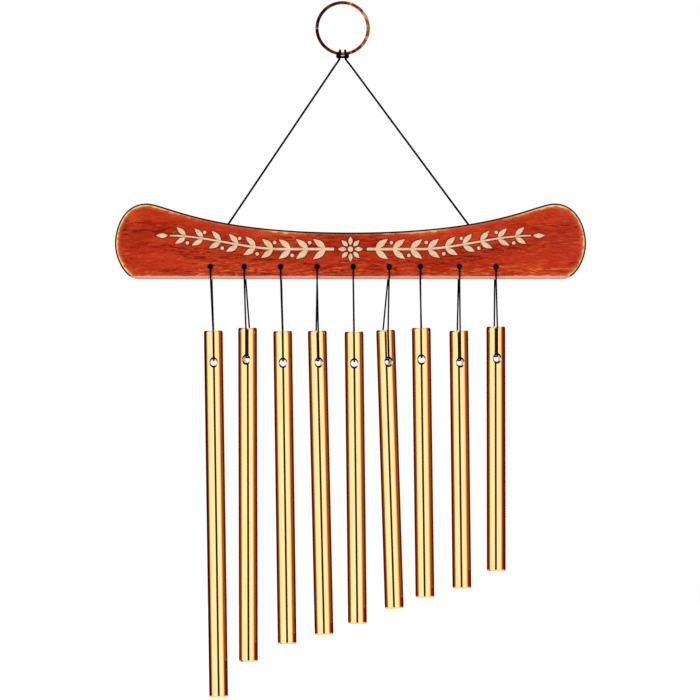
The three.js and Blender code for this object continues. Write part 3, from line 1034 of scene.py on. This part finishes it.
def mark_painted_shade(mesh):
    """Stores how dark the painted shade makes each corner of the faces round the cross hole."""
    values = [0.0] * len(mesh.loops)
    for polygon in mesh.polygons:
        if abs(polygon.normal.y) < BORE_SLOPE:
            continue
        for corner in polygon.loop_indices:
            place = mesh.vertices[mesh.loops[corner].vertex_index].co
            spoke = Vector((place.x, place.z + ROD_SEAT))
            if spoke.length > ROD_SINK / 2 + OVERRUN:
                continue
            # Painted shade round the rim, strongest at the bottom
            for angle, strength in PAINTED_SHADE_AT:
                facing = max(0, spoke.normalized().dot(aimed(angle)))
                values[corner] = max(values[corner], strength * facing ** PAINTED_SHADE_SHARPNESS)
    mesh.attributes.new("painted_shade", "FLOAT", "CORNER").data.foreach_set("value", values)


def rod_blank(index):
    """A rod before drilling: bevelled at both ends."""
    bottom = ROD_TOP - ROD_LENGTHS[index]
    rim = ROD_RADIUS - ROD_BEVEL
    rod = bmesh.new()
    turned(rod, [
        (0, bottom), (rim, bottom), (ROD_RADIUS, bottom + ROD_BEVEL_HEIGHT),
        (ROD_RADIUS, -ROD_SEAT - ROD_SINK), (ROD_RADIUS, -ROD_SEAT + ROD_SINK),
        (ROD_RADIUS, ROD_TOP - ROD_BEVEL_HEIGHT), (rim, ROD_TOP), (0, ROD_TOP),
    ], ROD_SIDES)
    return mesh_of(rod, f"chime_rod_{index + 1}")


def rod_drill():
    """The rod's cross hole, countersunk at both faces."""
    start = -ROD_RADIUS - OVERRUN
    half = [(0, start), (ROD_SINK / 2 + OVERRUN, start)]
    half.append((ROD_BORE / 2, (ROD_SINK - ROD_BORE) / 2 - ROD_RADIUS))
    profile = half + [(radius, -height) for radius, height in reversed(half)]
    drill = bmesh.new()
    turned(drill, profile, DRILL_SIDES, Matrix.Translation((0, 0, -ROD_SEAT)) @ ALONG_Y)
    return drill


def make_rod(index, gold, bare):
    """A rod with its bare metal hole, in its place on its loop."""
    mesh = drilled(rod_blank(index), rod_drill())
    mesh.materials.append(gold)
    mesh.materials.append(bare)
    mark_painted_shade(mesh)
    shade_rod(mesh)
    for polygon in mesh.polygons:
        spoke = polygon.center + Vector((0, 0, ROD_SEAT))
        in_hole = Vector((spoke.x, spoke.z)).length < ROD_SINK / 2
        radial = Vector((spoke.x, spoke.y, 0)).normalized()
        if in_hole and polygon.normal.dot(radial) < OFF_ROD_SIDE:
            polygon.material_index = 1
    mesh.transform(rod_place(index))
    name = f"rod_{index + 1}"
    place_piece(f"chime_{name}", mesh, gold, name, "gold_aluminium", name)


# Loops

def add_knot(bm, centre):
    """Adds a coiled stopper knot and its two cut ends."""
    reach = LOOP_RADIUS + KNOT_GIVE
    top = KNOT_HEIGHT / 2 - reach
    steps = KNOT_TURNS * COIL_STEPS
    coil = []
    for step in range(steps + 1):
        share = step / steps
        angle = 2 * math.pi * KNOT_TURNS * share
        height = top * (2 * share - 1)
        radius = KNOT_WIDTH / 2 - reach - KNOT_PINCH * (height / top) ** 2
        coil.append(centre + Vector((*aimed(angle) * radius, height)))
    lower_tail = [coil[0] + away for away in LOWER_TAIL]
    upper_tail = [coil[-1] + away for away in UPPER_TAIL]
    add_cord(bm, smooth_through([*lower_tail, *coil, *upper_tail], KNOT_STEPS), LOOP_RADIUS)


def make_loop(index, material):
    """A loop through its hole in the bar and round through its rod's cross hole."""
    number = index + 1
    seat = PIVOT[f"loop_{number}"]
    front = BAR_FRONT - LOOP_STAND_OFF
    knot = Vector((seat.x, KNOT_DEPTH, seat.z))
    beside = ROD_RADIUS + LOOP_STAND_OFF
    at_rod = rod_place(index)
    route = rounded_run([
        knot - Vector((0, 0, KNOT_HEIGHT / 4)),
        at_rod @ Vector((0, beside, ROD_TOP)),
        at_rod @ Vector((0, beside, 0)),
        at_rod @ Vector((0, -beside, 0)),
        at_rod @ Vector((0, -beside, ROD_TOP)),
        Vector((seat.x, front, BAR_BOTTOM + BAR_ROUNDING)),
        Vector((seat.x, front, seat.z)),
        knot - Vector((0, KNOT_WIDTH / 4, 0)),
    ], CORD_BEND)
    bm = bmesh.new()
    add_cord(bm, route, LOOP_RADIUS)
    add_knot(bm, knot + Vector((0, 0, HOLE_SEAT)))
    place_cord(f"loop_laid_{number}", bm, material, f"loop_{number}", f"loop_{number}")


# Studio

def seen_directly(tree):
    """1 for camera, glossy and transmission rays, 0 for those that light a surface."""
    path = add_node(tree, "ShaderNodeLightPath").outputs
    first = calculate(tree, "MAXIMUM", path["Is Camera Ray"], path["Is Glossy Ray"])
    return calculate(tree, "MAXIMUM", first, path["Is Transmission Ray"])


def mirrored_twice(tree):
    """1 for rays that have met two mirroring surfaces, 0 for those that have met one or none."""
    return remap(tree, add_node(tree, "ShaderNodeLightPath").outputs["Glossy Depth"], 1, 2)


def make_floor():
    """A pale floor that looks white where nothing shades it, and that hides nothing from below."""
    bm = bmesh.new()
    bmesh.ops.create_circle(bm, cap_ends=True, segments=FLOOR_SIDES, radius=FLOOR_RADIUS)
    mesh = mesh_of(bm, "floor")
    mesh.transform(Matrix.Translation((0, 0, FLOOR_LEVEL)))
    material, tree, shader = new_material("floor", Roughness=0.9)
    tint = blend(tree, mirrored_twice(tree), (1, 1, 1, 1), (*SECOND_GLANCE, 1))
    underside = add_node(tree, "ShaderNodeNewGeometry").outputs["Backfacing"]
    feed(
        tree, shader,
        Base_Color=blend(tree, 1.0, tint, FLOOR_TONE, "MULTIPLY"),
        Emission_Color=tint,
        Emission_Strength=remap(tree, seen_directly(tree), 0, 1, 0.0, FLOOR_GLOW),
        Alpha=remap(tree, underside, 0, 1, 1.0, 0.0))
    mesh.materials.append(material)
    floor = add_object("floor", mesh)


# What the polished surfaces mirror at each bearing, in degrees from the front, with +90 at
# the right: a narrow gap between two white cards, dark red cloth at both sides, and one
# strip of warm light at the back.
CARD_STOPS = [
    (-180, (1.1, 0.9, 0.75)), (-164, (1.0, 0.75, 0.55)), (-152, (0.14, 0.01, 0.002)),
    (-122, (0.06, 0.004, 0.001)), (-100, (0.1, 0.012, 0.002)), (-89, (0.46, 0.22, 0.08)),
    (-80, (1.2, 1.05, 0.9)), (-68, (1.36, 1.34, 1.5)), (-15, (1.42, 1.4, 1.6)),
    (-12, (0.05, 0.018, 0.0)), (10, (0.05, 0.018, 0.0)), (13, (1.42, 1.4, 1.6)),
    (54, (1.36, 1.34, 1.5)), (66, (1.0, 0.74, 0.68)), (80, (0.32, 0.055, 0.015)),
    (99, (0.2, 0.012, 0.003)), (121, (0.16, 0.004, 0.001)), (152, (0.1, 0.004, 0.001)),
    (164, (1.0, 0.75, 0.55)), (180, (1.1, 0.9, 0.75)),
]


def make_cards():
    """The cards round the chime, lower in front than behind, seen only in polished surfaces."""
    bm = bmesh.new()
    rings = []
    for low, high in ((FLOOR_LEVEL, FLOOR_LEVEL), (CARDS_TOP, CLOTH_TOP)):
        ring = []
        for x, y in circle(CARDS_RADIUS, CARDS_SIDES):
            share = min(1, max(0, CLOTH_STEEPNESS * y / CARDS_RADIUS))
            ring.append(bm.verts.new((x, y, low + (high - low) * share)))
        rings.append(ring)
    bridge(bm, rings)
    cards = add_object("cards", mesh_of(bm, "cards"))
    material = bpy.data.materials.new("cards")
    material.use_nodes = True
    tree = material.node_tree
    tree.nodes.clear()
    axes = along_axes(tree)
    front = calculate(tree, "MULTIPLY", axes["Y"], -1.0)
    bearing = calculate(tree, "ARCTAN2", axes["X"], front)
    share = remap(tree, bearing, -math.pi, math.pi)
    colour = ramp(tree, share, [((angle + 180) / 360, (*rgb, 1)) for angle, rgb in CARD_STOPS])
    twice = blend(tree, 1.0, colour, (*SECOND_GLANCE, 1), "MULTIPLY")
    glow = add_node(tree, "ShaderNodeEmission", {
        "Color": blend(tree, mirrored_twice(tree), colour, twice), "Strength": 1.0,
    })
    output = add_node(tree, "ShaderNodeOutputMaterial")
    tree.links.new(glow.outputs[0], output.inputs["Surface"])
    cards.data.materials.append(material)
    cards.visible_camera = False
    cards.visible_diffuse = False
    cards.visible_transmission = False
    cards.visible_shadow = False


def make_lights():
    """Even light from all round, with a soft key from the upper left front and a soft fill behind."""
    world = bpy.data.worlds.new("studio")
    bpy.context.scene.world = world
    world.use_nodes = True
    tree = world.node_tree
    background = tree.nodes["Background"]
    background.inputs["Color"].default_value = (1, 1, 1, 1)
    feed(tree, background, Strength=remap(tree, seen_directly(tree), 0, 1, AMBIENT, 1.0))
    for name, (toward, strength, width) in LAMPS.items():
        light = bpy.data.lights.new(name, "SUN")
        light.energy = strength
        light.angle = math.radians(width)
        lamp = add_object(name, light)
        lamp.rotation_euler = Vector(toward).to_track_quat("-Z", "Y").to_euler()
        lamp.visible_glossy = False


def make_camera():
    """The camera at the photograph's angle, its frame set by the photograph's pixels."""
    camera = bpy.data.cameras.new("camera")
    camera.sensor_width = SENSOR
    camera.lens = SENSOR * CAMERA_DISTANCE / (PHOTO_SIZE * PIXEL)
    rig = add_object("camera", camera)
    rig.location = (
        (PHOTO_SIZE / 2 - HANG_PIXEL[0]) * PIXEL,
        -CAMERA_DISTANCE,
        (HANG_PIXEL[1] - PHOTO_SIZE / 2) * PIXEL,
    )
    rig.rotation_euler = (math.pi / 2, 0, 0)
    bpy.context.scene.camera = rig


cord_material = waxed_cord()
gold_material = golden_metal()
bare_material = bare_metal()

make_camera()
make_ring(bronze_wire())
make_hanger(cord_material)
make_bar(stained_wood(), bore_stain_and_shade())
make_ornament_layer("ornament_burnt", burnt_line(), BURN_MARGIN, BURN_RELIEF)
make_ornament_layer("ornament_cream", cream_inlay(), 0.0, ORNAMENT_RELIEF)
for chime in range(len(ROD_LENGTHS)):
    make_loop(chime, cord_material)
    make_rod(chime, gold_material, bare_material)

make_floor()
make_cards()
make_lights()
bpy.context.scene.view_settings.view_transform = "Standard"
